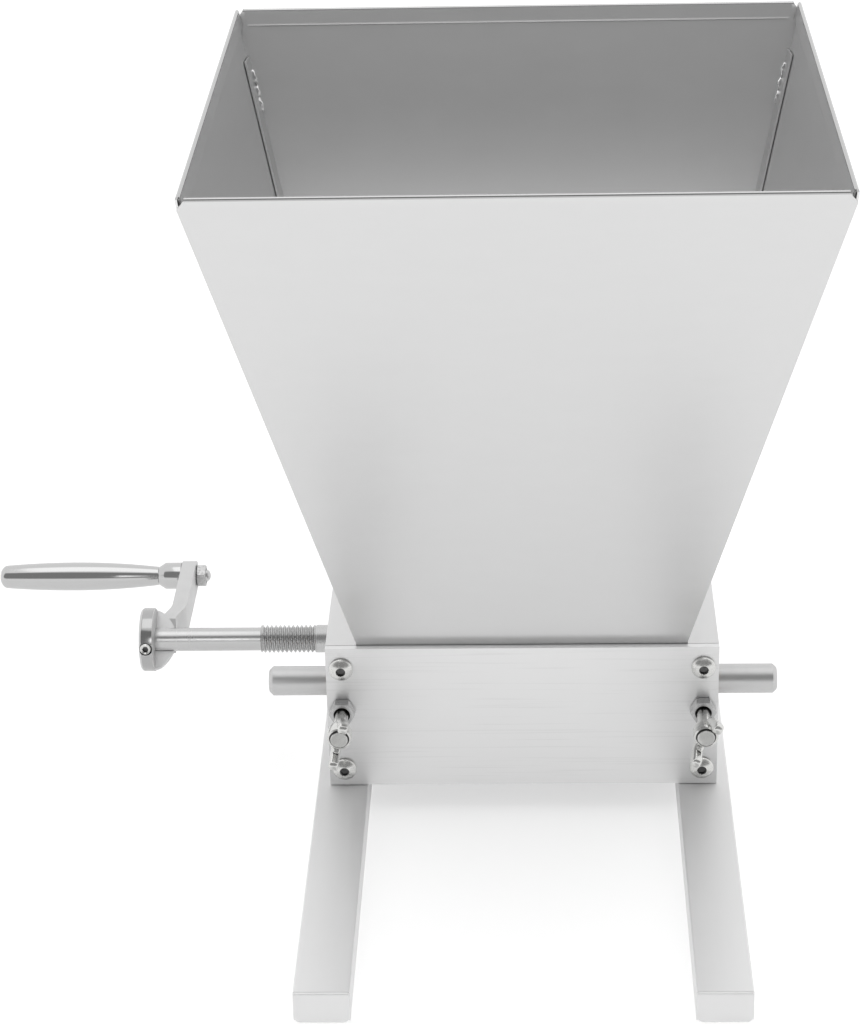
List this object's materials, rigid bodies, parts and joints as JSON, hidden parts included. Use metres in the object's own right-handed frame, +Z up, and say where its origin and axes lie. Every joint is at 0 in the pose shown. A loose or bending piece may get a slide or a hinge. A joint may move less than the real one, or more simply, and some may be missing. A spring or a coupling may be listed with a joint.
{
  "type": "grain mill",
  "caption": "Hand-cranked roller grain mill: flared sheet hopper on a box-shaped roller block with wing screws for the gap, standing on long foot rails.",
  "frame": {"origin": "on the floor under the middle of the whole object, crank included", "axes": "+Y along the foot rails from the front plate to the back, +Z up, +X to the right of someone who faces the front plate"},
  "size_m": [0.3767, 0.4104, 0.3162],
  "materials": {
    "hopper_sheet": "satin stainless sheet",
    "block_plate": "brushed",
    "rail_sheet": "satin sheet",
    "plated_fastener": "bright zinc plating",
    "roller_steel": "knurled",
    "turned_steel": "turned",
    "bronze": "sintered bronze",
    "crank_steel": "satin",
    "polished_steel": "polished"
  },
  "bodies": {
    "mill": {"hopper_front_panel": "hopper_sheet", "hopper_back_panel": "hopper_sheet", "hopper_left_panel": "hopper_sheet", "hopper_right_panel": "hopper_sheet", "front_plate": "block_plate", "back_plate": "block_plate", "left_side_plate": "block_plate", "right_side_plate": "block_plate", "left_drive_bush": "bronze", "right_drive_bush": "bronze", "left_foot_rail": "rail_sheet", "right_foot_rail": "rail_sheet", "front_screw_upper_left": "plated_fastener", "front_screw_upper_right": "plated_fastener", "front_screw_lower_left": "plated_fastener", "front_screw_lower_right": "plated_fastener", "back_screw_upper_left": "plated_fastener", "back_screw_upper_right": "plated_fastener", "back_screw_lower_left": "plated_fastener", "back_screw_lower_right": "plated_fastener", "rail_screw_front_left": "plated_fastener", "rail_screw_front_right": "plated_fastener", "rail_screw_back_left": "plated_fastener", "rail_screw_back_right": "plated_fastener"},
    "crank": {"drive_shaft": "turned_steel", "drive_roller": "roller_steel", "crank_arm": "crank_steel", "crank_set_screw": "plated_fastener", "grip_spindle": "polished_steel", "grip_nut": "plated_fastener"},
    "grip": {"grip": "polished_steel"},
    "gap_carriage": {"left_bearing_block": "bronze", "right_bearing_block": "bronze"},
    "idler": {"idler_roller": "roller_steel", "idler_shaft": "turned_steel"},
    "left_wing_screw": {"left_wing_screw": "plated_fastener"},
    "right_wing_screw": {"right_wing_screw": "plated_fastener"},
    "left_lock_nut": {"left_lock_nut": "plated_fastener"},
    "right_lock_nut": {"right_lock_nut": "plated_fastener"}
  },
  "joints": [
    {"name": "crank_turn", "type": "hinge", "parent": "mill", "child": "crank", "pos_m": [0, 0.0156, 0.0534], "axis": [1, 0, 0], "continuous": true},
    {"name": "grip_turn", "type": "hinge", "parent": "crank", "child": "grip", "pos_m": [-0.1505, 0.0796, 0.0534], "axis": [1, 0, 0], "continuous": true},
    {"name": "roller_gap_slide", "type": "slide", "parent": "mill", "child": "gap_carriage", "axis": [0, 1, 0], "range_m": [-0.0008, 0.001]},
    {"name": "idler_spin", "type": "hinge", "parent": "gap_carriage", "child": "idler", "pos_m": [0.0605, -0.0237, 0.0534], "axis": [1, 0, 0], "continuous": true},
    {"name": "left_wing_screw_turn", "type": "hinge", "parent": "gap_carriage", "child": "left_wing_screw", "pos_m": [-0.01785, -0.0472, 0.0521], "axis": [0, 1, 0], "range_deg": [-290, 362]},
    {"name": "right_wing_screw_turn", "type": "hinge", "parent": "gap_carriage", "child": "right_wing_screw", "pos_m": [0.13885, -0.0472, 0.0521], "axis": [0, 1, 0], "range_deg": [-290, 362]},
    {"name": "left_lock_nut_turn", "type": "hinge", "parent": "mill", "child": "left_lock_nut", "pos_m": [-0.01785, -0.0472, 0.0521], "axis": [0, 1, 0], "range_deg": [-90, 0]},
    {"name": "right_lock_nut_turn", "type": "hinge", "parent": "mill", "child": "right_lock_nut", "pos_m": [0.13885, -0.0472, 0.0521], "axis": [0, 1, 0], "range_deg": [-90, 0]}
  ],
  "couplings": [
    {"joint": "idler_spin", "follows": "crank_turn", "ratio": -1},
    {"joint": "left_wing_screw_turn", "follows": "roller_gap_slide", "rad_per_m": 6283.2},
    {"joint": "right_wing_screw_turn", "follows": "roller_gap_slide", "rad_per_m": 6283.2}
  ]
}
